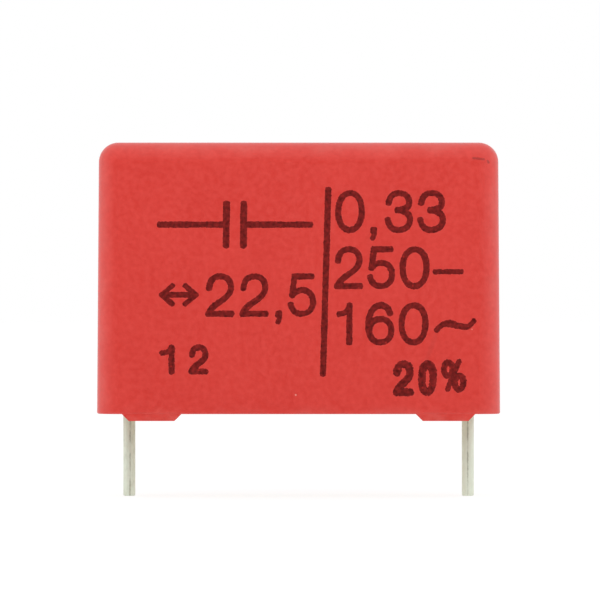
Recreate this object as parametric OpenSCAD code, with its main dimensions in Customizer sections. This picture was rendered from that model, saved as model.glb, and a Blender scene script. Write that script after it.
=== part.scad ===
// Box film capacitor: a pressed winding of metallized film, potted in a moulded box.
// Two round leads solder into a circuit board. The feet stand on the board at z = 0,
// the leads point down, and the long face towards -Y is the printed one.

/* [Case] */
// Length of the case at its open rim
case_l = 26.6; // [25.5:0.1:34]
// Thickness of the case at its open rim
case_w = 8.5; // [7:0.1:12]
// Height of the case over the board, feet included
case_h = 18.35; // [15:0.05:26]
// Thickness of the moulded wall
wall = 0.8; // [0.5:0.05:1]
// Draft of the moulded sides, in degrees
draft = 0.4; // [0:0.1:1]
// Radius of the outer edges and ball corners at the closed top
edge_r = 1.3; // [1.2:0.05:1.8]
// Radius that breaks the outer edge of the open rim
rim_r = 0.12; // [0.05:0.01:0.15]

/* [Feet] */
// Height of the feet, from the board to the rim
foot_h = 0.45; // [0.3:0.05:1]
// Length of the flat of each foot
foot_l = 3; // [1.5:0.1:4.5]
// Distance from the end of the case to the flat of the nearest foot
foot_inset = 2.13; // [2:0.01:4]
// Slope of the ends of the feet, in degrees from the board
foot_slope = 45; // [35:1:80]
// Step from the outer face of the case back to the feet
foot_step = 0.04; // [0.02:0.01:0.3]

/* [Leads] */
// Distance between the centres of the leads
lead_pitch = 22.5; // [15:0.5:23]
// Radius of the lead wire
lead_r = 0.4; // [0.3:0.05:0.5]
// Length of the leads below the board's surface
lead_l = 5.05; // [3:0.05:25]
// Rounding of the cut tips of the leads
tip_r = 0.1; // [0.05:0.01:0.15]
// Thickness of the flattened blade that is welded to the winding
blade_t = 0.4; // [0.3:0.05:0.5]
// Half of the width of the blade
blade_r = 0.65; // [0.6:0.05:0.8]
// Length over which the round wire is swaged into the blade
swage_l = 1; // [0.6:0.1:1.4]
// Length of the blade
blade_l = 11; // [6:0.5:11.5]
// Length of the swage that the resin's collar covers, below the resin's surface
swage_root = 0.15; // [0.05:0.01:0.2]

/* [Potting] */
// Depth of the resin's surface inside the rim
resin_depth = 0.2; // [0.18:0.01:0.6]
// Radius of the resin's meniscus at the walls
wall_meniscus = 0.15; // [0.08:0.01:0.16]
// Radius of the resin's collar round each lead
lead_meniscus = 0.4; // [0.35:0.05:0.6]
// Contact angle of the resin, in degrees
contact_angle = 25; // [15:1:30]

/* [Winding] */
// Resin between the winding and each long wall, at the closed top
side_cover = 0.4; // [0.2:0.05:0.8]
// Resin between the winding and the closed top
top_cover = 0.85; // [0.5:0.05:1.5]
// Resin below the winding
base_cover = 1.6; // [1.2:0.1:2]
// Thickness of the metal sprayed on each end of the winding
spray_t = 0.7; // [0.4:0.05:1]
// Width of the slit that the winding mandrel leaves
slit_w = 0.2; // [0.1:0.05:0.4]

/* [Hidden] */
LEFT = -1;
RIGHT = 1;
$fn = 64;
// The straight sides pass this far inside the rounds that they meet, and so cross them
seam = 0.0005;
// The flats of the swage start this far outside the round wire
swage_clear = 0.1;

// The cavity follows the outside of the case at the wall's thickness
cavity_l = case_l - 2 * wall;
cavity_w = case_w - 2 * wall;
cavity_h = case_h - wall - foot_h;
cavity_r = edge_r - wall;
resin_z = foot_h + resin_depth;
swage_z = resin_z - swage_root;
blade_z = swage_z + swage_l;

// The winding sits between the two blades, with its sprayed ends on them
winding_l = lead_pitch - blade_t - 2 * spray_t;
winding_z0 = resin_z + base_cover;
winding_z1 = case_h - wall - top_cover;
winding_h = winding_z1 - winding_z0;
winding_t = 2 * snap(cavity_w / 2 - cavity_h * tan(draft) - side_cover);

// Places pieces that meet face to face on one grid of a thousandth of a millimetre
function snap(size) = round(1000 * size) / 1000;

// Radius at the base of a drafted corner. A flat of flat_r is left inside its top rounding.
function base_radius(h, top_r, flat_r = 0) =
    snap(flat_r + (top_r + (h - top_r) * sin(draft)) / cos(draft));

// A point just inside a round, where the drafted side passes it
function beside_round(x, z, r) = [x + (r - seam) * cos(draft), z + (r - seam) * sin(draft)];

// Half section of a drafted wall, measured from the axis of its corners. The side leans in
// by the draft, runs into the top rounding without a corner, and has its base edge broken.
module wall_section(h, top_r, flat_r, edge) {
    base = base_radius(h, top_r, flat_r);
    edge_x = base - edge * (1 + sin(draft)) / cos(draft);
    outline = concat(
        [[0, 0], [edge_x, 0]],
        edge > 0 ? [beside_round(edge_x, edge, edge)] : [],
        [beside_round(flat_r, h - top_r, top_r), [flat_r, h]],
        flat_r > 0 ? [[0, h]] : []
    );
    intersection() {
        union() {
            polygon(outline);
            translate([flat_r, h - top_r]) circle(top_r);
            if (edge > 0) translate([edge_x, edge]) circle(edge);
        }
        square([base, h]);
    }
}

// A moulded block: drafted sides, rounded vertical edges and a rounded top. One section
// makes it all: a quarter turn of it at each corner, and straight runs of it between them.
module drafted_block(l, w, h, top_r, flat_r = 0, edge = 0) {
    base = base_radius(h, top_r, flat_r);
    core = [l - 2 * base, w - 2 * base];
    translate([-core.x / 2, -core.y / 2, 0]) cube([core.x, core.y, h]);
    for (k = [0:3]) {
        // Each turn carries one corner and the run that leads up to it
        ahead = k % 2 == 0 ? core.x : core.y;
        across = k % 2 == 0 ? core.y : core.x;
        rotate([0, 0, 90 * k]) {
            translate([ahead / 2, across / 2, 0]) rotate_extrude(angle = 90)
                wall_section(h, top_r, flat_r, edge);
            translate([ahead / 2, 0, 0]) rotate([90, 0, 0]) linear_extrude(across, center = true)
                wall_section(h, top_r, flat_r, edge);
        }
    }
}

// One stand-off foot, on the long wall towards -Y, with its flat on z = 0. It runs up
// past the broken edge of the rim, so it leaves the wall almost flush.
module foot(side) {
    root_z = foot_h + rim_r;
    root_x = foot_l / 2 + root_z / tan(foot_slope);
    centre = side * (case_l / 2 - foot_inset - foot_l / 2);
    translate([centre, wall - case_w / 2, 0]) rotate([90, 0, 0])
        linear_extrude(wall - foot_step)
            polygon([[-foot_l / 2, 0], [foot_l / 2, 0], [root_x, root_z], [-root_x, root_z]]);
}

module cavity() {
    translate([0, 0, foot_h]) drafted_block(cavity_l, cavity_w, cavity_h, cavity_r);
}

module case() {
    color([0.84, 0.27, 0.24]) {
        difference() {
            translate([0, 0, foot_h])
                drafted_block(case_l, case_w, case_h - foot_h, edge_r, edge = rim_r);
            cavity();
        }
        for (side = [LEFT, RIGHT]) {
            foot(side);
            mirror([0, 1, 0]) foot(side);
        }
    }
}

// The space below the resin: its rounded top edges leave the meniscus on the walls
module space_below_resin() {
    overshoot = snap(wall_meniscus * (1 - cos(contact_angle)));
    corner = base_radius(cavity_h, cavity_r) + overshoot;
    flat_r = corner - base_radius(resin_depth, wall_meniscus);
    translate([0, 0, foot_h])
        drafted_block(cavity_l + 2 * overshoot, cavity_w + 2 * overshoot, resin_depth,
                      wall_meniscus, flat_r);
}

// The resin that has climbed a lead, as a concave collar round it
module collar(side) {
    reach = lead_r + lead_meniscus * cos(contact_angle);
    translate([side * lead_pitch / 2, 0, resin_z]) rotate_extrude()
        difference() {
            translate([0, -lead_meniscus]) square([reach, 2 * lead_meniscus]);
            translate([reach, -lead_meniscus]) circle(lead_meniscus);
        }
}

module potting_resin() {
    color([0.77, 0.64, 0.44]) difference() {
        union() {
            difference() {
                cavity();
                space_below_resin();
            }
            for (side = [LEFT, RIGHT]) collar(side);
        }
        pressed_roll(winding_l + 2 * spray_t);
        for (side = [LEFT, RIGHT]) lead(side);
    }
}

// A flattened roll along X: two half rounds joined by the pressed flats
module pressed_roll(l) {
    section(l) round_slot(winding_h, winding_t);
}

module section(l) {
    translate([0, 0, (winding_z0 + winding_z1) / 2]) rotate([90, 0, 90])
        linear_extrude(l, center = true) children();
}

module round_slot(h, t) {
    square([t, h - t], center = true);
    for (end = [-1, 1]) translate([0, end * (h - t) / 2]) circle(t / 2);
}

module film_winding() {
    color([0.78, 0.8, 0.82]) section(winding_l) difference() {
        round_slot(winding_h, winding_t);
        round_slot(winding_h - winding_t, slit_w);
    }
}

// The sprayed metal that joins all the turns at one end of the winding
module end_spray(side) {
    color([0.55, 0.56, 0.57])
        translate([side * (winding_l + spray_t) / 2, 0, 0]) pressed_roll(spray_t);
}

// Round wire with a cut tip, swaged inside the resin into a flat blade
module lead(side) {
    color([0.8, 0.8, 0.74]) translate([side * lead_pitch / 2, 0, 0]) {
        round_wire();
        translate([0, 0, swage_z]) swage();
        translate([0, 0, blade_z]) blade();
    }
}

module round_wire() {
    rotate_extrude() {
        polygon([
            [0, -lead_l], [lead_r - tip_r, -lead_l], [lead_r, tip_r - lead_l],
            [lead_r, swage_z], [0, swage_z]
        ]);
        translate([lead_r - tip_r, tip_r - lead_l]) circle(tip_r);
    }
}

module swage() {
    start = lead_r + swage_clear;
    intersection() {
        cylinder(swage_l, lead_r, blade_r);
        rotate([90, 0, 0]) linear_extrude(2 * blade_r, center = true)
            polygon([
                [-start, 0], [start, 0],
                [blade_t / 2, swage_l], [-blade_t / 2, swage_l]
            ]);
    }
}

module blade() {
    intersection() {
        cylinder(blade_l, r = blade_r);
        translate([-blade_t / 2, -blade_r, 0]) cube([blade_t, 2 * blade_r, blade_l]);
    }
}

case();
potting_resin();
film_winding();
end_spray(LEFT);  // end_spray_left
end_spray(RIGHT);  // end_spray_right
lead(LEFT);  // lead_left
lead(RIGHT);  // lead_right
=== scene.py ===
"""Looks of a box film capacitor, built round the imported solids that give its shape."""

import logging
import math
from dataclasses import dataclass, field
from enum import Enum

import bpy
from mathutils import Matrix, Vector

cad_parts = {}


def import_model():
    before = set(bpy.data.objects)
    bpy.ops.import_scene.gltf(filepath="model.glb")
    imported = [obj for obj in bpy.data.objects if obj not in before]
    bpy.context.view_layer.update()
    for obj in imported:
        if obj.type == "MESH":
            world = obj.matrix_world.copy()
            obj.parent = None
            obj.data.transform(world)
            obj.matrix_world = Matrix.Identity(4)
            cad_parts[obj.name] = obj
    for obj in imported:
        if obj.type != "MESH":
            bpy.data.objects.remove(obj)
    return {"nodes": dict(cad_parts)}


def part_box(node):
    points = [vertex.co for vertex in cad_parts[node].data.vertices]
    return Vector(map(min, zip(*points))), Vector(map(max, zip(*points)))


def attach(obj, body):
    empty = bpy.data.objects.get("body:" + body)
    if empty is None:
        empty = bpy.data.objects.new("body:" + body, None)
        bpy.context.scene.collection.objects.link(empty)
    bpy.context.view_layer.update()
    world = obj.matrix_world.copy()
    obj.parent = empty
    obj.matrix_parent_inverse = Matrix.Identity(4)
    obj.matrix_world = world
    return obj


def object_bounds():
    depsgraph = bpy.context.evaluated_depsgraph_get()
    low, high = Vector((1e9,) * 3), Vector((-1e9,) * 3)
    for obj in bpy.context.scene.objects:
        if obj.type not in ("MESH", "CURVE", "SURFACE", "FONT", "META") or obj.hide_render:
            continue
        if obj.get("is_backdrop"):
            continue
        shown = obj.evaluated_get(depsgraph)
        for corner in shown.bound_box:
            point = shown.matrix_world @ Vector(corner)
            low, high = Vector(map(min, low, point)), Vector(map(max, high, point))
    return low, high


LOG = logging.getLogger("capacitor")
MM = 0.001
Colour = tuple[float, float, float]
Triple = tuple[float, float, float]
Inputs = dict[str | int, object]


def rgba(colour: Colour) -> tuple[float, float, float, float]:
    """Gives a colour the fourth number that a colour socket takes."""
    return (*colour, 1.0)


class Kind(Enum):
    """What travels through a group's socket."""

    NUMBER = "NodeSocketFloat"
    COUNT = "NodeSocketInt"
    VECTOR = "NodeSocketVector"
    OBJECT = "NodeSocketObject"
    MATERIAL = "NodeSocketMaterial"
    GEOMETRY = "NodeSocketGeometry"


@dataclass(frozen=True)
class Port:
    """One named input or output of a node group."""

    name: str
    kind: Kind = Kind.NUMBER
    start: float | int | Triple | None = None


class Wiring:
    """Adds nodes to one node tree and joins their sockets."""

    def __init__(self, tree: bpy.types.NodeTree) -> None:
        """Keeps the tree that the nodes go into."""
        self.tree = tree

    def add(self, kind: str, inputs: Inputs | None = None, **settings: object) -> bpy.types.Node:
        """Adds one node.

        Args:
            kind: The node's type.
            inputs: Values or output sockets, by the input's name or number.
            **settings: Properties of the node itself.

        Returns:
            The new node.
        """
        node = self.tree.nodes.new(kind)
        for name, value in settings.items():
            setattr(node, name, value)
        for key, value in (inputs or {}).items():
            if isinstance(value, bpy.types.NodeSocket):
                self.tree.links.new(value, node.inputs[key])
            else:
                node.inputs[key].default_value = value
        return node

    def math(self, operation: str, *values: object, clamp: bool = False) -> bpy.types.NodeSocket:
        """Adds a Math node and returns its result."""
        node = self.add("ShaderNodeMath", dict(enumerate(values)), operation=operation,
                        use_clamp=clamp)
        return node.outputs[0]

    def vector(self, operation: str, *values: object) -> bpy.types.NodeSocket:
        """Adds a Vector Math node and returns its vector, or its number where it gives one."""
        node = self.add("ShaderNodeVectorMath", dict(enumerate(values)), operation=operation)
        return node.outputs["Value" if operation in ("LENGTH", "DOT_PRODUCT") else "Vector"]

    def ease(self, value: object, low: object, high: object, start: float = 0.0,
             end: float = 1.0) -> bpy.types.NodeSocket:
        """Turns a value that goes from low to high into a smooth change from start to end."""
        node = self.add("ShaderNodeMapRange", {
            "Value": value, "From Min": low, "From Max": high, "To Min": start, "To Max": end,
        }, interpolation_type="SMOOTHSTEP")
        return node.outputs[0]

    def blend(self, share: object, first: object, second: object) -> bpy.types.NodeSocket:
        """Mixes two colours, where a share of 1 gives the second one."""
        node = self.add("ShaderNodeMix", {0: share, 6: first, 7: second}, data_type="RGBA")
        return node.outputs[2]

    def parts(self, value: bpy.types.NodeSocket) -> tuple[bpy.types.NodeSocket, ...]:
        """Splits a vector into its three numbers."""
        return tuple(self.add("ShaderNodeSeparateXYZ", {0: value}).outputs)


def new_group(name: str, family: str, inputs: tuple[Port, ...],
              outputs: tuple[Port, ...]) -> tuple[Wiring, bpy.types.Node, bpy.types.Node]:
    """Starts a node group with named sockets.

    Args:
        name: The group's name.
        family: The type of the node tree.
        inputs: The sockets that its users fill.
        outputs: The sockets that it fills.

    Returns:
        The wiring of the group, its input node and its output node.
    """
    tree = bpy.data.node_groups.new(name, family)
    for ports, side in ((inputs, "INPUT"), (outputs, "OUTPUT")):
        for port in ports:
            socket = tree.interface.new_socket(
                port.name, in_out=side, socket_type=port.kind.value)
            if port.start is not None:
                socket.default_value = port.start
    wiring = Wiring(tree)
    return wiring, wiring.add("NodeGroupInput"), wiring.add("NodeGroupOutput")


class Effect(Enum):
    """The surface effects that the materials share."""

    MOTTLE = "mottle"
    GRAIN = "grain"
    # Mask of the rounded edges, which carries wear and a painted sheen
    WORN_AND_SHEEN_EDGES = "worn_edges"
    SPECKS = "specks"
    STREAKS = "streaks"
    RUBBED_LINE = "rubbed_line"


class EffectLibrary:
    """Builds each shared effect once, as a node group. All their lengths are in millimetres."""

    def __init__(self) -> None:
        """Starts with no group built."""
        self.built: dict[Effect, bpy.types.NodeTree] = {}

    def place(self, wiring: Wiring, effect: Effect, inputs: Inputs) -> bpy.types.NodeSocket:
        """Puts an effect into a material.

        Args:
            wiring: The material's wiring.
            effect: Which effect.
            inputs: Values or sockets for the group's inputs, by name.

        Returns:
            The effect's one output.
        """
        if effect not in self.built:
            self.built[effect] = getattr(self, "_" + effect.value)()
        node = wiring.tree.nodes.new("ShaderNodeGroup")
        node.node_tree = self.built[effect]
        for name, value in inputs.items():
            if isinstance(value, bpy.types.NodeSocket):
                wiring.tree.links.new(value, node.inputs[name])
            else:
                node.inputs[name].default_value = value
        return node.outputs[0]

    @staticmethod
    def _start(name: str, *inputs: Port) -> tuple[Wiring, bpy.types.NodeSocket,
                                                  bpy.types.NodeOutputs, bpy.types.Node]:
        """Starts a group that takes a position and gives one mask from 0 to 1."""
        wiring, source, target = new_group(
            name, "ShaderNodeTree", (Port("Position", Kind.VECTOR), *inputs), (Port("Mask"),))
        return wiring, source.outputs["Position"], source.outputs, target

    def _mottle(self) -> bpy.types.NodeTree:
        """Builds soft uneven patches.

        Returns:
            The group.
        """
        w, position, given, target = self._start(
            "mottle", Port("Size", start=1.0), Port("Contrast", start=1.0))
        noise = w.add("ShaderNodeTexNoise", {
            "Vector": position, "Scale": w.math("DIVIDE", 1.0, given["Size"]),
            "Detail": 3.0, "Roughness": 0.55})
        around = w.math("SUBTRACT", noise.outputs[0], 0.5)
        spread = w.math("MULTIPLY_ADD", around, given["Contrast"], 0.5, clamp=True)
        w.tree.links.new(spread, target.inputs[0])
        return w.tree

    def _grain(self) -> bpy.types.NodeTree:
        """Builds the fine pebbled relief that an eroded mould or a coarse powder leaves.

        Returns:
            The group.
        """
        w, position, given, target = self._start("grain", Port("Size", start=0.1))
        rate = w.math("DIVIDE", 1.0, given["Size"])
        pebbles = w.add("ShaderNodeTexVoronoi", {"Vector": position, "Scale": rate},
                        feature="SMOOTH_F1")
        dust = w.add("ShaderNodeTexNoise", {
            "Vector": position, "Scale": w.math("MULTIPLY", rate, 1.9), "Detail": 2.0})
        height = w.math("MULTIPLY_ADD", pebbles.outputs["Distance"], 0.6,
                        w.math("MULTIPLY", dust.outputs[0], 0.5))
        w.tree.links.new(height, target.inputs[0])
        return w.tree

    def _worn_edges(self) -> bpy.types.NodeTree:
        """Builds a mask of the rounded edges of a box, broken into patches, for wear and a painted
        sheen.

        Returns:
            The group.
        """
        w, position, given, target = self._start(
            "worn_edges", Port("Centre", Kind.VECTOR), Port("Half Size", Kind.VECTOR),
            Port("Width", start=1.0), Port("Patch Size", start=1.0))
        out = w.vector("SUBTRACT", w.vector(
            "ABSOLUTE", w.vector("SUBTRACT", position, given["Centre"])), given["Half Size"])
        x, y, z = w.parts(out)
        # The middle one of the three numbers tells how far the nearest edge is
        middle = w.math("MAXIMUM", w.math("MINIMUM", x, y),
                        w.math("MINIMUM", w.math("MAXIMUM", x, y), z))
        near = w.ease(middle, w.math("MULTIPLY", given["Width"], -1.0), 0.0)
        patches = w.add("ShaderNodeTexNoise", {
            "Vector": position, "Scale": w.math("DIVIDE", 1.0, given["Patch Size"]),
            "Detail": 4.0, "Roughness": 0.6})
        mask = w.math("MULTIPLY", near, w.ease(patches.outputs[0], 0.38, 0.72))
        w.tree.links.new(mask, target.inputs[0])
        return w.tree

    def _specks(self) -> bpy.types.NodeTree:
        """Builds small round spots, one at most in each cell.

        Returns:
            The group.
        """
        w, position, given, target = self._start(
            "specks", Port("Spacing", start=1.0), Port("Radius", start=0.1),
            Port("Share", start=0.5))
        cells = w.add("ShaderNodeTexVoronoi", {
            "Vector": position, "Scale": w.math("DIVIDE", 1.0, given["Spacing"])})
        chance, size, _ = w.parts(cells.outputs["Color"])
        distance = w.math("MULTIPLY", cells.outputs["Distance"], given["Spacing"])
        radius = w.math("MULTIPLY", given["Radius"], w.math("ADD", size, 0.4))
        spot = w.ease(distance, radius, w.math("MULTIPLY", radius, 0.5))
        mask = w.math("MULTIPLY", spot, w.math("LESS_THAN", chance, given["Share"]))
        w.tree.links.new(mask, target.inputs[0])
        return w.tree

    def _streaks(self) -> bpy.types.NodeTree:
        """Builds lines that run along the direction with the smallest rate.

        Returns:
            The group.
        """
        w, position, given, target = self._start("streaks", Port("Rate", Kind.VECTOR))
        noise = w.add("ShaderNodeTexNoise", {
            "Vector": w.vector("MULTIPLY", position, given["Rate"]), "Scale": 1.0,
            "Detail": 3.0, "Roughness": 0.6})
        w.tree.links.new(w.ease(noise.outputs[0], 0.3, 0.7), target.inputs[0])
        return w.tree

    def _rubbed_line(self) -> bpy.types.NodeTree:
        """Builds one soft line between two points.

        Returns:
            The group.
        """
        w, position, given, target = self._start(
            "rubbed_line", Port("From", Kind.VECTOR), Port("To", Kind.VECTOR),
            Port("Width", start=0.1))
        along = w.vector("SUBTRACT", given["To"], given["From"])
        off = w.vector("SUBTRACT", position, given["From"])
        share = w.math("DIVIDE", w.vector("DOT_PRODUCT", off, along),
                       w.vector("DOT_PRODUCT", along, along), clamp=True)
        foot = w.vector("MULTIPLY", along, share)
        distance = w.vector("LENGTH", w.vector("SUBTRACT", off, foot))
        noise = w.add("ShaderNodeTexNoise", {"Vector": position, "Scale": 7.0, "Detail": 2.0})
        width = w.math("MULTIPLY", given["Width"], w.math("ADD", noise.outputs[0], 0.25))
        mask = w.ease(distance, width, w.math("MULTIPLY", width, 0.3))
        w.tree.links.new(mask, target.inputs[0])
        return w.tree


class Surface:
    """A material in the making: its wiring, its shader and positions in millimetres."""

    def __init__(self, name: str, effects: EffectLibrary, **constants: object) -> None:
        """Starts a material with one Principled shader.

        Args:
            name: The material's name.
            effects: The shared effects.
            **constants: Plain values for the shader, with _ for each space in a name.
        """
        self.material = bpy.data.materials.new(name)
        self.material.use_nodes = True
        self.material.node_tree.nodes.clear()
        self.effects = effects
        self.wiring = Wiring(self.material.node_tree)
        self.shader = self.wiring.add("ShaderNodeBsdfPrincipled", {
            key.replace("_", " "): value for key, value in constants.items()})
        output = self.wiring.add("ShaderNodeOutputMaterial")
        self.wiring.tree.links.new(self.shader.outputs[0], output.inputs["Surface"])
        place = self.wiring.add("ShaderNodeTexCoord").outputs["Object"]
        self.position = self.wiring.vector("MULTIPLY", place, (1 / MM, 1 / MM, 1 / MM))

    def effect(self, effect: Effect, **inputs: object) -> bpy.types.NodeSocket:
        """Places a shared effect at this material's positions, with _ for each space."""
        named = {key.replace("_", " "): value for key, value in inputs.items()}
        return self.effects.place(self.wiring, effect, {"Position": self.position, **named})

    def drive(self, name: str, value: bpy.types.NodeSocket) -> None:
        """Feeds one of the shader's inputs."""
        self.wiring.tree.links.new(value, self.shader.inputs[name])

    def emboss(self, height: bpy.types.NodeSocket, depth: float) -> None:
        """Gives the surface a relief of the depth in millimetres."""
        bump = self.wiring.add("ShaderNodeBump", {
            "Strength": 1.0, "Distance": depth * MM, "Height": height})
        self.drive("Normal", bump.outputs[0])


@dataclass(frozen=True)
class Mark:
    """A scuff or a pale nick on the printed face, in millimetres.

    Its ends are given as the place along the face, the depth behind it and the height.
    """

    start: Triple
    end: Triple
    width: float
    strength: float
    is_pale: bool = False


@dataclass(frozen=True)
class RedMoulding:
    """Satin red polyester as it leaves an eroded mould."""

    low: Colour = (0.635, 0.0335, 0.0235)
    high: Colour = (0.722, 0.0500, 0.0375)
    # Paler colour of the rounded edges: wear, and a painted sheen across the rounds
    worn_and_sheen: Colour = (0.80, 0.33, 0.28)
    pale: Colour = (0.86, 0.42, 0.36)
    soiled: Colour = (0.20, 0.022, 0.02)
    roughness: tuple[float, float] = (0.30, 0.38)
    grain: float = 0.12
    marks: tuple[Mark, ...] = (
        Mark((11.5, 0.12, 17.30), (12.2, 0.15, 17.22), 0.16, 0.55),
        Mark((12.47, 0.25, 17.10), (12.5, 0.25, 17.02), 0.16, 0.6),
        Mark((-0.18, 0.0, 1.72), (-0.17, 0.0, 1.70), 0.10, 0.7, is_pale=True),
        Mark((8.36, 0.0, 1.82), (8.39, 0.0, 1.79), 0.10, 0.5, is_pale=True),
        Mark((9.15, 0.03, 5.96), (8.3, 0.0, 3.65), 0.3, 0.10),
    )

    def material(self, effects: EffectLibrary, centre: Triple,
                 half: Triple) -> bpy.types.Material:
        """Makes the material.

        Args:
            effects: The shared effects.
            centre: The middle of the case, in millimetres.
            half: Half of the size of the case, in millimetres.

        Returns:
            The finished material.
        """
        s = Surface("red_moulding", effects, IOR=1.57)
        w = s.wiring
        broad = s.effect(Effect.MOTTLE, Size=3.0, Contrast=2.2)
        small = s.effect(Effect.MOTTLE, Size=0.35, Contrast=3.0)
        tone = w.math("MULTIPLY_ADD", small, 0.6, w.math("MULTIPLY", broad, 0.4))
        colour = w.blend(tone, rgba(self.low), rgba(self.high))
        # The rounded edges are painted paler, partly as wear and partly as a painted sheen on the
        # rounds
        worn_and_sheen = s.effect(Effect.WORN_AND_SHEEN_EDGES, Centre=centre, Half_Size=half, Width=1.25,
                        Patch_Size=2.2)
        colour = w.blend(w.math("MULTIPLY", worn_and_sheen, 0.16), colour, rgba(self.worn_and_sheen))
        dust = s.effect(Effect.SPECKS, Spacing=1.9, Radius=0.05, Share=0.12)
        colour = w.blend(w.math("MULTIPLY", dust, 0.5), colour, rgba(self.pale))
        face = Vector((0.0, centre[1] - half[1], 0.0))
        for mark in self.marks:
            line = s.effect(Effect.RUBBED_LINE, From=face + Vector(mark.start),
                            To=face + Vector(mark.end), Width=mark.width)
            tint = self.pale if mark.is_pale else self.soiled
            colour = w.blend(w.math("MULTIPLY", line, mark.strength), colour, rgba(tint))
        s.drive("Base Color", colour)
        rough = w.ease(small, 0.0, 1.0, *self.roughness)
        s.drive("Roughness", w.math("MULTIPLY_ADD", worn_and_sheen, 0.08, rough))
        s.emboss(s.effect(Effect.GRAIN, Size=self.grain), 0.004)
        return s.material


@dataclass(frozen=True)
class CastResin:
    """Ochre casting resin that has set level, with pinholes and a soft gloss."""

    low: Colour = (0.46, 0.29, 0.115)
    high: Colour = (0.60, 0.41, 0.19)
    pinhole: Colour = (0.20, 0.11, 0.045)
    roughness: tuple[float, float] = (0.28, 0.46)

    def material(self, effects: EffectLibrary) -> bpy.types.Material:
        """Makes the material.

        Args:
            effects: The shared effects.

        Returns:
            The finished material.
        """
        s = Surface("cast_resin", effects, IOR=1.54)
        w = s.wiring
        cloud = s.effect(Effect.MOTTLE, Size=2.6, Contrast=1.8)
        fine = s.effect(Effect.MOTTLE, Size=0.3, Contrast=1.2)
        colour = w.blend(w.math("MULTIPLY_ADD", fine, 0.35, w.math("MULTIPLY", cloud, 0.65)),
                         rgba(self.low), rgba(self.high))
        holes = s.effect(Effect.SPECKS, Spacing=1.1, Radius=0.09, Share=0.3)
        colour = w.blend(w.math("MULTIPLY", holes, 0.8), colour, rgba(self.pinhole))
        s.drive("Base Color", colour)
        s.drive("Roughness", w.ease(cloud, 0.0, 1.0, *self.roughness))
        waves = w.math("MULTIPLY_ADD", cloud, 1.0, w.math("MULTIPLY", fine, 0.12))
        s.emboss(w.math("SUBTRACT", waves, w.math("MULTIPLY", holes, 0.8)), 0.05)
        return s.material


@dataclass(frozen=True)
class TinnedWire:
    """Tin over copper wire, drawn lengthwise and dulled by handling."""

    bright: Colour = (0.82, 0.875, 0.75)
    dull: Colour = (0.50, 0.53, 0.42)
    scored: Colour = (0.30, 0.305, 0.23)
    roughness: tuple[float, float] = (0.58, 0.72)
    dulling: float = 1.0

    def material(self, name: str, effects: EffectLibrary, x: float,
                 y: float) -> bpy.types.Material:
        """Makes the material of one lead.

        Args:
            name: The material's name.
            effects: The shared effects.
            x: Where the straightening roll has scored the lead, in millimetres.
            y: Where the front of the lead is, in millimetres.

        Returns:
            The finished material.
        """
        s = Surface(name, effects, Metallic=0.3)
        w = s.wiring
        drawn = s.effect(Effect.STREAKS, Rate=(7.0, 7.0, 0.5))
        ridges = s.effect(Effect.STREAKS, Rate=(4.0, 4.0, 1.6))
        blotch = s.effect(Effect.MOTTLE, Size=0.5, Contrast=2.0)
        dark = w.math("MULTIPLY", w.math("MULTIPLY", ridges, blotch), 0.45 * self.dulling)
        colour = w.blend(w.math("MULTIPLY_ADD", drawn, 0.2 * self.dulling, dark),
                         rgba(self.bright), rgba(self.dull))
        score = s.effect(Effect.RUBBED_LINE, From=(x, y, 0.6), To=(x, y, -5.2), Width=0.085)
        share = w.math("MULTIPLY", score, w.ease(ridges, 0.0, 0.8, 0.15, 0.65))
        colour = w.blend(share, colour, rgba(self.scored))
        pits = s.effect(Effect.SPECKS, Spacing=0.5, Radius=0.05, Share=0.25)
        s.drive("Base Color", w.blend(w.math("MULTIPLY", pits, 0.5), colour, rgba(self.dull)))
        s.drive("Roughness", w.ease(blotch, 0.0, 1.0, *self.roughness))
        s.emboss(w.math("ADD", w.math("MULTIPLY", drawn, 0.5), ridges), 0.012)
        return s.material


@dataclass(frozen=True)
class WoundFilm:
    """The sides of a winding of metallized film, turn on turn."""

    film: Colour = (0.72, 0.74, 0.76)
    gap: Colour = (0.36, 0.38, 0.41)

    def material(self, effects: EffectLibrary) -> bpy.types.Material:
        """Makes the material.

        Args:
            effects: The shared effects.

        Returns:
            The finished material.
        """
        s = Surface("wound_film", effects, Metallic=0.6)
        w = s.wiring
        turns = s.effect(Effect.STREAKS, Rate=(0.06, 14.0, 2.0))
        cloud = s.effect(Effect.MOTTLE, Size=3.0, Contrast=1.5)
        s.drive("Base Color", w.blend(w.math("MULTIPLY", turns, 0.6),
                                      rgba(self.film), rgba(self.gap)))
        s.drive("Roughness", w.ease(cloud, 0.0, 1.0, 0.22, 0.4))
        s.emboss(turns, 0.01)
        return s.material


@dataclass(frozen=True)
class SprayedZinc:
    """Porous zinc, sprayed on as droplets."""

    light: Colour = (0.56, 0.57, 0.58)
    dark: Colour = (0.30, 0.305, 0.31)

    def material(self, effects: EffectLibrary) -> bpy.types.Material:
        """Makes the material.

        Args:
            effects: The shared effects.

        Returns:
            The finished material.
        """
        s = Surface("sprayed_zinc", effects, Metallic=0.7)
        w = s.wiring
        drops = s.effect(Effect.GRAIN, Size=0.16)
        pores = s.effect(Effect.SPECKS, Spacing=0.35, Radius=0.08, Share=0.5)
        colour = w.blend(w.ease(drops, 0.2, 0.7), rgba(self.dark), rgba(self.light))
        s.drive("Base Color", w.blend(w.math("MULTIPLY", pores, 0.7), colour, rgba(self.dark)))
        s.drive("Roughness", w.ease(drops, 0.0, 1.0, 0.9, 0.6))
        s.emboss(w.math("SUBTRACT", drops, w.math("MULTIPLY", pores, 0.6)), 0.05)
        return s.material


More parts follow.
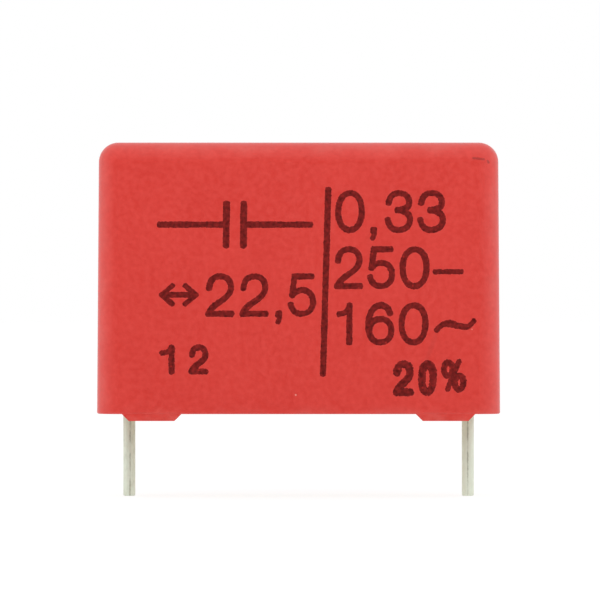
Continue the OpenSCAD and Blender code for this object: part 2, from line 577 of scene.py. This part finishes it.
@dataclass(frozen=True)
class DarkInk:
    """Maroon printing ink that lets a little of the red through."""

    thick: Colour = (0.090, 0.0016, 0.0012)
    thin: Colour = (0.260, 0.0075, 0.0055)
    through: Colour = (0.45, 0.018, 0.012)

    def material(self, effects: EffectLibrary) -> bpy.types.Material:
        """Makes the material.

        Args:
            effects: The shared effects.

        Returns:
            The finished material.
        """
        s = Surface("dark_ink", effects, IOR=1.36)
        w = s.wiring
        cloud = s.effect(Effect.MOTTLE, Size=0.22, Contrast=2.6)
        colour = w.blend(cloud, rgba(self.thick), rgba(self.thin))
        voids = s.effect(Effect.SPECKS, Spacing=0.3, Radius=0.07, Share=0.22)
        s.drive("Base Color", w.blend(w.math("MULTIPLY", voids, 0.6), colour,
                                      rgba(self.through)))
        s.drive("Roughness", w.ease(cloud, 0.0, 1.0, 0.38, 0.5))
        s.emboss(s.effect(Effect.GRAIN, Size=0.09), 0.006)
        return s.material


@dataclass(frozen=True)
class Glyph:
    """One printed sign as pen strokes in a box of its own width and a height of 1.

    Each stroke is a path of M, L, C and Z steps, with a number in front that thickens it.
    """

    width: float
    strokes: tuple[tuple[float, str], ...]


GLYPHS = {
    "0": Glyph(0.64, ((1, "M.32 1 C.51 1 .64 .8 .64 .5 C.64 .2 .51 0 .32 0 "
                          "C.13 0 0 .2 0 .5 C0 .8 .13 1 .32 1 Z"),)),
    "1": Glyph(0.34, ((1, "M.34 0 L.34 1"), (0.9, "M0 .76 C.19 .76 .32 .84 .34 1"))),
    "2": Glyph(0.66, ((1, "M.02 .69 C.02 .88 .14 1 .33 1 C.52 1 .64 .88 .64 .71 "
                          "C.64 .53 .5 .43 .35 .33 C.17 .21 .04 .13 .01 0"),
                      (1, "M.01 0 L.66 0"))),
    "3": Glyph(0.62, ((1, "M.02 .74 C.03 .9 .14 1 .31 1 C.47 1 .59 .9 .59 .75 "
                          "C.59 .61 .48 .54 .27 .54"),
                      (1, "M.27 .54 C.5 .54 .62 .43 .62 .27 C.62 .1 .48 0 .31 0 "
                          "C.13 0 .01 .1 0 .27"))),
    "5": Glyph(0.62, ((1, "M.1 1 L.57 1"), (1, "M.1 1 L.04 .5"),
                      (1, "M.04 .5 C.11 .58 .2 .63 .31 .63 C.49 .63 .62 .5 .62 .31 "
                          "C.62 .12 .49 0 .3 0 C.14 0 .02 .09 0 .24"))),
    "6": Glyph(0.61, ((1, "M.57 .79 C.54 .93 .45 1 .33 1 C.1 1 0 .77 0 .46 "
                          "C0 .15 .12 0 .32 0 C.49 0 .61 .13 .61 .32 "
                          "C.61 .51 .49 .63 .33 .63 C.15 .63 .02 .52 .01 .36"),)),
    ",": Glyph(1.0, ((1.1, "M.5 .92 L.5 .8"), (0.8, "M.85 .8 C.9 .5 .75 .2 .3 0"))),
    "-": Glyph(1.0, ((0.85, "M0 .5 L1 .5"),)),
    "~": Glyph(1.0, ((0.85, "M0 0 C.1 .5 .2 .85 .34 .85 C.5 .85 .56 .3 .74 .3 "
                            "C.86 .3 .94 .6 1 1"),
                     (1.0, "M.2 .68 C.36 .95 .52 .3 .78 .35"))),
    "%": Glyph(1.0, ((0.85, "M.24 1 C.36 1 .44 .88 .44 .75 C.44 .62 .36 .5 .24 .5 "
                            "C.12 .5 .04 .62 .04 .75 C.04 .88 .12 1 .24 1 Z"),
                     (0.85, "M.76 .5 C.88 .5 .96 .38 .96 .25 C.96 .12 .88 0 .76 0 "
                            "C.64 0 .56 .12 .56 .25 C.56 .38 .64 .5 .76 .5 Z"),
                     (0.7, "M.22 0 L.74 1.04"))),
    "span": Glyph(2.6, ((0.9, "M.05 .5 L2.55 .5"), (0.85, "M.8 1 L0 .5"), (0.85, "M0 .5 L.8 0"),
                        (0.85, "M1.8 1 L2.6 .5"), (0.85, "M2.6 .5 L1.8 0"))),
    "plates": Glyph(3.3, ((1, "M0 .5 L1.46 .5"), (1.1, "M1.46 1 L1.46 0"),
                          (1.1, "M1.84 1 L1.84 0"), (1, "M1.84 .5 L3.3 .5"))),
    "rule": Glyph(1.0, ((1.03, "M1 1 L0 0"),)),
}


@dataclass(frozen=True)
class Sign:
    """A glyph and the box that its ink fills on the face: left, right, bottom and top in mm."""

    glyph: str
    left: float
    right: float
    bottom: float
    top: float


@dataclass(frozen=True)
class PrintRun:
    """Signs that one pass of the printing pad or stamp leaves."""

    name: str
    signs: tuple[Sign, ...]
    half_width: float = 0.205
    raggedness: float = 0.032
    end_round: float = 0.6
    seed: int = 1


@dataclass
class FacePrint:
    """The ink on the long face: thin domed strokes that lie on the moulding.

    Lengths are in millimetres. The swell is the share of its width by which a stroke varies,
    and blunt is the share that its ends keep. The rays that find the face start at the
    stand-off, in front of the case's middle.
    """

    ink_height: float = 0.012
    step: float = 0.045
    patch: float = 0.1
    lean: float = 0.012
    swell: float = 0.36
    swell_length: float = 0.9
    blunt: float = 0.12
    sides: int = 12
    stand_off: float = 50.0
    seed_step: Triple = (0.0137, 0.0071, 0.0029)
    runs: tuple[PrintRun, ...] = (
        PrintRun("print_symbol", (Sign("plates", -9.33, 0.96, 11.37, 14.47),), seed=3),
        PrintRun("print_pitch", (
            Sign("span", -9.2, -6.55, 7.5, 9.1), Sign("2", -6.15, -4.2, 6.85, 9.72),
            Sign("2", -3.9, -1.95, 6.85, 9.72), Sign(",", -1.62, -1.0, 6.3, 7.32),
            Sign("5", -0.72, 1.16, 6.85, 9.72)), seed=5),
        PrintRun("print_rule", (Sign("rule", 1.475, 2.085, 2.92, 15.4),), seed=7),
        PrintRun("print_values", (
            Sign("0", 2.4, 4.36, 12.36, 15.2), Sign(",", 4.62, 5.24, 11.83, 12.82),
            Sign("3", 5.66, 7.54, 12.36, 15.2), Sign("3", 7.8, 9.7, 12.36, 15.2),
            Sign("2", 2.33, 4.25, 8.67, 11.5), Sign("5", 4.5, 6.36, 8.67, 11.5),
            Sign("0", 6.64, 8.62, 8.67, 11.5), Sign("-", 8.78, 10.9, 9.62, 10.02),
            Sign("1", 2.45, 3.55, 4.97, 7.81), Sign("6", 4.4, 6.31, 4.97, 7.81),
            Sign("0", 6.57, 8.55, 4.97, 7.81), Sign("~", 8.88, 11.72, 5.78, 6.78)), seed=11),
        PrintRun("print_batch", (
            Sign("1", -9.2, -8.15, 3.06, 5.04), Sign("2", -7.25, -5.9, 3.06, 5.04)),
            half_width=0.2, raggedness=0.05, end_round=1.0, seed=13),
        PrintRun("print_tolerance", (
            Sign("2", 6.18, 7.6, 1.65, 4.0), Sign("0", 7.85, 9.1, 1.65, 4.0),
            Sign("%", 9.25, 11.15, 1.85, 4.1)),
            half_width=0.25, raggedness=0.055, end_round=1.0, seed=17),
    )

    def build(self, case: bpy.types.Object, ink: bpy.types.Material) -> list[bpy.types.Object]:
        """Prints every run on the case.

        Args:
            case: The moulding that the ink lies on.
            ink: The ink's material.

        Returns:
            One finished piece for each run.
        """
        tree = self._stroke_tree()
        return [self._print(run, tree, case, ink) for run in self.runs]

    def _print(self, run: PrintRun, tree: bpy.types.NodeTree, case: bpy.types.Object,
               ink: bpy.types.Material) -> bpy.types.Object:
        """Turns the centre lines of one run into a mesh of ink.

        Args:
            run: The signs and their stroke.
            tree: The Geometry Nodes tree that inks a centre line.
            case: The moulding that the ink lies on.
            ink: The ink's material.

        Returns:
            The finished piece.
        """
        curve = bpy.data.curves.new(run.name + "_lines", "CURVE")
        curve.dimensions = "3D"
        for sign in run.signs:
            for weight, path in GLYPHS[sign.glyph].strokes:
                self._draw(curve, sign, run.half_width, weight, path)
        pen = bpy.data.objects.new(run.name + "_pen", curve)
        bpy.context.scene.collection.objects.link(pen)
        modifier = pen.modifiers.new("ink", "NODES")
        modifier.node_group = tree
        values = {
            "Face": case, "Half Width": run.half_width * MM, "Ink Height": self.ink_height * MM,
            "Step": self.step * MM, "End Round": run.end_round,
            "Raggedness": run.raggedness * MM, "Patch": self.patch * MM, "Seed": run.seed,
            "Ink": ink,
        }
        for item in tree.interface.items_tree:
            if item.name in values and item.in_out == "INPUT":
                modifier[item.identifier] = values[item.name]
        pen.update_tag()
        graph = bpy.context.evaluated_depsgraph_get()
        mesh = bpy.data.meshes.new_from_object(pen.evaluated_get(graph), depsgraph=graph)
        bpy.data.objects.remove(pen)
        bpy.data.curves.remove(curve)
        mesh.name = run.name
        piece = bpy.data.objects.new(run.name, mesh)
        bpy.context.scene.collection.objects.link(piece)
        return piece

    def _draw(self, curve: bpy.types.Curve, sign: Sign, half: float, weight: float,
              path: str) -> None:
        """Adds one stroke as a curve, x across the face and y up it, in metres.

        Args:
            curve: The curve that gets the stroke.
            sign: The box that the ink fills.
            half: Half of the stroke's width.
            weight: How much thicker than that this stroke is.
            path: The stroke's M, L, C and Z steps.
        """
        width = GLYPHS[sign.glyph].width

        def spot(x: float, y: float) -> Vector:
            """Moves a point of the glyph's box to the face."""
            z = sign.bottom + half + y * (sign.top - sign.bottom - 2 * half)
            across = sign.left + half + x / width * (sign.right - sign.left - 2 * half)
            return Vector((across + self.lean * (z - (sign.bottom + sign.top) / 2), z, 0)) * MM

        knots: list[list[Vector]] = []
        closed = False
        for step in path.replace("M", "|M ").replace("L", "|L ").replace("C", "|C ").replace(
                "Z", "|Z ").split("|")[1:]:
            numbers = [float(n) for n in step[1:].split()]
            points = [spot(*pair) for pair in zip(numbers[::2], numbers[1::2])]
            if step[0] == "M":
                knots.append([points[0]] * 3)
            elif step[0] == "L":
                start, end = knots[-1][1], points[0]
                knots[-1] = [knots[-1][0], start, start.lerp(end, 1 / 3)]
                knots.append([end.lerp(start, 1 / 3), end, end])
            elif step[0] == "C":
                knots[-1] = [knots[-1][0], knots[-1][1], points[0]]
                knots.append([points[1], points[2], points[2]])
            else:
                closed = True
                knots[0][0] = knots.pop()[0]
        if not closed:
            # The ink runs on past the ends of the pen's path, by half of its width
            for knot, inner in ((knots[0], knots[0][2]), (knots[-1], knots[-1][0])):
                knot[1] = knot[1] + (knot[1] - inner).normalized() * half * weight * MM
            knots[0][0], knots[-1][2] = knots[0][1], knots[-1][1]
        spline = curve.splines.new("BEZIER")
        spline.bezier_points.add(len(knots) - 1)
        spline.use_cyclic_u = closed
        spline.resolution_u = 24
        for point, (left, middle, right) in zip(spline.bezier_points, knots):
            point.handle_left_type = point.handle_right_type = "FREE"
            point.handle_left, point.co, point.handle_right = left, middle, right
            point.radius = weight

    def _stroke_tree(self) -> bpy.types.NodeTree:
        """Builds the tree that turns centre lines into ink lying on a face.

        Returns:
            The Geometry Nodes tree.
        """
        w, source, target = new_group("inked_strokes", "GeometryNodeTree", (
            Port("Geometry", Kind.GEOMETRY), Port("Face", Kind.OBJECT),
            Port("Half Width", start=0.2 * MM), Port("Ink Height", start=0.01 * MM),
            Port("Step", start=0.05 * MM), Port("End Round", start=1.0),
            Port("Raggedness", start=0.02 * MM),
            Port("Patch", start=0.1 * MM), Port("Seed", Kind.COUNT, 1),
            Port("Ink", Kind.MATERIAL)), (Port("Geometry", Kind.GEOMETRY),))
        given = source.outputs
        weight = w.add("GeometryNodeInputRadius").outputs[0]
        kept = w.add("GeometryNodeStoreNamedAttribute", {
            "Geometry": given["Geometry"], "Name": "weight", "Value": weight},
            data_type="FLOAT", domain="POINT")
        line = w.add("GeometryNodeResampleCurve", {
            "Curve": kept.outputs[0], "Length": given["Step"]}, mode="LENGTH")
        place = w.add("GeometryNodeInputPosition").outputs[0]
        chance = w.vector("ADD", place, w.vector("MULTIPLY", given["Seed"], self.seed_step))
        ring = w.add("GeometryNodeCurvePrimitiveCircle", {"Resolution": self.sides, "Radius": 1.0})
        tube = w.add("GeometryNodeCurveToMesh", {
            "Curve": line.outputs[0], "Profile Curve": ring.outputs[0],
            "Scale": self._pen_radius(w, given, chance), "Fill Caps": True})
        laid = w.add("GeometryNodeSetPosition", {
            "Geometry": tube.outputs[0], "Position": self._on_face(w, given, place, chance)})
        smooth = w.add("GeometryNodeSetShadeSmooth", {"Geometry": laid.outputs[0]})
        real = w.add("GeometryNodeRealizeInstances", {"Geometry": smooth.outputs[0]})
        inked = w.add("GeometryNodeSetMaterial", {
            "Geometry": real.outputs[0], "Material": given["Ink"]})
        w.tree.links.new(inked.outputs[0], target.inputs[0])
        return w.tree

    def _pen_radius(self, w: Wiring, given: bpy.types.NodeOutputs,
                    chance: bpy.types.NodeSocket) -> bpy.types.NodeSocket:
        """Works out half of the stroke's width along a centre line.

        Args:
            w: The tree's wiring.
            given: The tree's inputs.
            chance: Where the noise is read, which moves with the seed.

        Returns:
            The half width, which swells at random and is rounded off at the ends.
        """
        weight = w.add("GeometryNodeInputNamedAttribute", {"Name": "weight"},
                       data_type="FLOAT").outputs[0]
        # The width follows a quarter of an ellipse from each end
        done = w.add("GeometryNodeSplineParameter").outputs["Length"]
        whole = w.add("GeometryNodeSplineLength").outputs["Length"]
        half = w.math("MULTIPLY", given["Half Width"], weight)
        reach = w.math("DIVIDE", w.math("MINIMUM", done, w.math("SUBTRACT", whole, done)),
                       w.math("MULTIPLY", half, given["End Round"]), clamp=True)
        rest = w.math("SUBTRACT", 1.0, reach)
        round_end = w.math("SQRT", w.math("SUBTRACT", 1.0, w.math("MULTIPLY", rest, rest)))
        loop = w.add("GeometryNodeInputSplineCyclic").outputs[0]
        ends = w.math("MAXIMUM", w.math("MAXIMUM", round_end, self.blunt), loop)
        flow = w.add("ShaderNodeTexNoise", {
            "Vector": chance, "Scale": 1 / (self.swell_length * MM), "Detail": 1.0})
        swell = w.math("MULTIPLY_ADD", flow.outputs[0], self.swell, 1.0 - self.swell / 2)
        return w.math("MULTIPLY", w.math("MULTIPLY", half, swell), ends)

    def _on_face(self, w: Wiring, given: bpy.types.NodeOutputs, place: bpy.types.NodeSocket,
                 chance: bpy.types.NodeSocket) -> bpy.types.NodeSocket:
        """Flattens the strokes, frays their edges and lays them on the face.

        Args:
            w: The tree's wiring.
            given: The tree's inputs.
            place: Where a point of the round stroke is, x across the face and y up it.
            chance: Where the noise is read, which moves with the seed.

        Returns:
            Where that point of the ink goes.
        """
        x, y, z = w.parts(place)
        low = w.math("MULTIPLY", z, w.math("DIVIDE", given["Ink Height"], given["Half Width"]))
        fray = w.add("ShaderNodeTexNoise", {
            "Vector": chance, "Scale": w.math("DIVIDE", 1.0, given["Patch"]), "Detail": 2.0})
        push = w.vector("MULTIPLY", w.vector("SUBTRACT", fray.outputs["Color"],
                                             (0.5, 0.5, 0.5)), (4.0, 4.0, 0.0))
        push_x, push_y, _ = w.parts(push)
        across = w.math("MULTIPLY_ADD", push_x, given["Raggedness"], x)
        up = w.math("MULTIPLY_ADD", push_y, given["Raggedness"], y)
        start = w.add("ShaderNodeCombineXYZ", {
            0: across, 1: -self.stand_off * MM, 2: up}).outputs[0]
        face = w.add("GeometryNodeObjectInfo", {"Object": given["Face"]})
        hit = w.add("GeometryNodeRaycast", {
            "Target Geometry": face.outputs["Geometry"], "Source Position": start,
            "Ray Direction": (0.0, 1.0, 0.0), "Ray Length": 2 * self.stand_off * MM})
        lift = w.vector("MULTIPLY", hit.outputs["Hit Normal"], low)
        return w.vector("ADD", hit.outputs["Hit Position"], lift)


@dataclass
class Capacitor:
    """The part itself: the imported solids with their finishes, and the print."""

    nodes: dict[str, bpy.types.Object]
    wire_radius: float = 0.4
    effects: EffectLibrary = field(default_factory=EffectLibrary)

    def dress(self, names: tuple[str, ...], material: bpy.types.Material) -> None:
        """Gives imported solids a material.

        Args:
            names: The solids.
            material: Their finish.
        """
        for name in names:
            for slot in self.nodes[name].material_slots:
                slot.material = material
            LOG.info("%s wears %s", name, material.name)

    def build(self) -> None:
        """Dresses every solid and prints the face."""
        low, high = (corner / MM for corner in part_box("case"))
        centre, half = tuple((low + high) / 2), tuple((high - low) / 2)
        self.dress(("case",), RedMoulding().material(self.effects, centre, half))
        self.dress(("potting_resin",), CastResin().material(self.effects))
        self.dress(("film_winding",), WoundFilm().material(self.effects))
        self.dress(("end_spray_left", "end_spray_right"), SprayedZinc().material(self.effects))
        # The left lead gets more dull streaks than the right one, so it comes out darker
        for name, score, dulling in (("lead_left", 0.06, 0.9), ("lead_right", -0.02, 0.3)):
            low, high = (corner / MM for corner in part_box(name))
            wire = TinnedWire(dulling=dulling).material(
                name.replace("lead", "tinned_wire"), self.effects,
                (low.x + high.x) / 2 + score, -self.wire_radius)
            self.dress((name,), wire)
        ink = DarkInk().material(self.effects)
        for piece in FacePrint().build(self.nodes["case"], ink):
            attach(piece, "root")
            LOG.info("%s has %d faces", piece.name, len(piece.data.polygons))


@dataclass(frozen=True)
class SoftBox:
    """A square lamp that faces the part and doesn't show in its gloss."""

    name: str
    azimuth: float
    elevation: float
    radiance: float
    size: float = 0.16
    distance: float = 0.26

    def place(self, target: Vector) -> None:
        """Puts the lamp where its angles say, seen from the target.

        Args:
            target: The place that the lamp faces.
        """
        lamp = bpy.data.lights.new(self.name, "AREA")
        lamp.shape = "SQUARE"
        lamp.size = self.size
        lamp.energy = self.radiance * 4 * self.size ** 2
        turn, rise = math.radians(self.azimuth), math.radians(self.elevation)
        out = Vector((math.sin(turn) * math.cos(rise), -math.cos(turn) * math.cos(rise),
                      math.sin(rise)))
        holder = bpy.data.objects.new(self.name, lamp)
        holder.location = target + out * self.distance
        holder.rotation_euler = out.to_track_quat("Z", "Y").to_euler()
        holder.visible_glossy = False
        bpy.context.scene.collection.objects.link(holder)


@dataclass
class Studio:
    """A white room with soft lamps, which is less and less lit towards the camera."""

    sky: float = 1.0
    unlit: float = 0.02
    unlit_angle: float = 18.0
    lit_angle: float = 82.0
    floor_size: float = 3.0
    floor_keep: float = 0.25
    floor_light: float = 0.8
    camera_distance: float = 0.4
    camera_x: float = 0.000094
    camera_z: float = 0.00796
    frame_width: float = 0.03988
    boxes: tuple[SoftBox, ...] = (
        SoftBox("lamp_left", -40, 25, 1.03),
        SoftBox("lamp_right", 40, 25, 1.03),
        SoftBox("lamp_top", 0, 35, 1.03),
    )

    def build(self, low: Vector, high: Vector) -> None:
        """Builds the room round the part.

        Args:
            low: The part's lowest corner.
            high: Its highest corner.
        """
        for box in self.boxes:
            box.place((low + high) / 2)
        self._world()
        self._floor(low.z, (low.z + high.z) / 2)
        self._camera()

    def _seen_directly(self, wiring: Wiring) -> bpy.types.NodeSocket:
        """Gives 1 to rays from the camera or through a glass, and 0 to the others."""
        path = wiring.add("ShaderNodeLightPath").outputs
        return wiring.math("MAXIMUM", path["Is Camera Ray"], path["Is Transmission Ray"])

    def _shaded(self, wiring: Wiring, way: bpy.types.NodeSocket) -> bpy.types.NodeSocket:
        """Gives the brightness of the room in a direction, least towards the camera.

        Args:
            wiring: The wiring of the world or of a material of the room.
            way: The direction from the part.

        Returns:
            A brightness up to 1.
        """
        turn = wiring.math("ARCCOSINE", wiring.vector(
            "DOT_PRODUCT", wiring.vector("NORMALIZE", way), (0.0, -1.0, 0.0)))
        return wiring.add("ShaderNodeMapRange", {
            "Value": turn, "From Min": math.radians(self.unlit_angle),
            "From Max": math.radians(self.lit_angle), "To Min": self.unlit,
            "To Max": 1.0}).outputs[0]

    def _world(self) -> None:
        """Makes the air white to the eye and a soft light to the part."""
        world = bpy.data.worlds.new("white_room")
        world.use_nodes = True
        world.node_tree.nodes.clear()
        w = Wiring(world.node_tree)
        light = w.math("MULTIPLY", self.sky, self._shaded(
            w, w.add("ShaderNodeTexCoord").outputs["Generated"]))
        strength = w.add("ShaderNodeMix", {
            0: self._seen_directly(w), 2: light, 3: 1.0}).outputs[0]
        background = w.add("ShaderNodeBackground", {
            "Color": (1.0, 1.0, 1.0, 1.0), "Strength": strength})
        output = w.add("ShaderNodeOutputWorld")
        w.tree.links.new(background.outputs[0], output.inputs[0])
        bpy.context.scene.world = world

    def _plane(self, name: str, corners: list[Vector]) -> bpy.types.Object:
        """Makes a four-cornered sheet of the room, which isn't part of the object.

        Args:
            name: The sheet's name.
            corners: Its four corners in order.

        Returns:
            The sheet.
        """
        mesh = bpy.data.meshes.new(name)
        mesh.from_pydata(corners, [], [(0, 1, 2, 3)])
        sheet = bpy.data.objects.new(name, mesh)
        bpy.context.scene.collection.objects.link(sheet)
        sheet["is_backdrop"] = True
        return sheet

    def _floor(self, level: float, middle: float) -> None:
        """Lays a white floor that keeps a faint shadow.

        Args:
            level: The floor's height.
            middle: The height of the part's middle, which the floor's brightness turns about.
        """
        r = self.floor_size
        floor = self._plane("floor", [Vector((x, y, level)) for x, y in
                                      ((-r, -r), (r, -r), (r, r), (-r, r))])
        material = bpy.data.materials.new("white_floor")
        material.use_nodes = True
        material.node_tree.nodes.clear()
        w = Wiring(material.node_tree)
        paper = w.add("ShaderNodeBsdfDiffuse", {"Color": (1.0, 1.0, 1.0, 1.0)})
        # Makes up for the paper's share, so that the open floor is as white as the air above it
        white = (1.0 - self.floor_keep * self.floor_light) / (1.0 - self.floor_keep)
        place = w.add("ShaderNodeTexCoord").outputs["Object"]
        shaded = self._shaded(w, w.vector("SUBTRACT", place, (0.0, 0.0, middle)))
        gloss = w.add("ShaderNodeLightPath").outputs["Is Glossy Ray"]
        glow = w.add("ShaderNodeEmission", {
            "Color": (1.0, 1.0, 1.0, 1.0),
            "Strength": w.add("ShaderNodeMix", {0: gloss, 2: white, 3: shaded}).outputs[0]})
        share = w.math("MAXIMUM", gloss, w.math(
            "MULTIPLY", self._seen_directly(w), 1.0 - self.floor_keep))
        mixed = w.add("ShaderNodeMixShader", {
            0: share, 1: paper.outputs[0], 2: glow.outputs[0]})
        output = w.add("ShaderNodeOutputMaterial")
        w.tree.links.new(mixed.outputs[0], output.inputs["Surface"])
        floor.data.materials.append(material)

    def _camera(self) -> None:
        """Sets the camera level and square to the printed face."""
        lens = bpy.data.cameras.new("camera")
        lens.sensor_width = 36.0
        lens.lens = lens.sensor_width * self.camera_distance / self.frame_width
        camera = bpy.data.objects.new("camera", lens)
        camera.location = (self.camera_x, -self.camera_distance, self.camera_z)
        camera.rotation_euler = (math.pi / 2, 0, 0)
        bpy.context.scene.collection.objects.link(camera)
        bpy.context.scene.camera = camera


def main() -> None:
    """Builds the part and its room."""
    logging.basicConfig(level=logging.INFO, format="%(name)s: %(message)s")
    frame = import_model()
    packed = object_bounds()
    bpy.context.scene.view_settings.view_transform = "Standard"
    Capacitor(frame["nodes"]).build()
    Studio().build(*packed)
    bpy.context.view_layer.update()


if __name__ == "__main__":
    main()
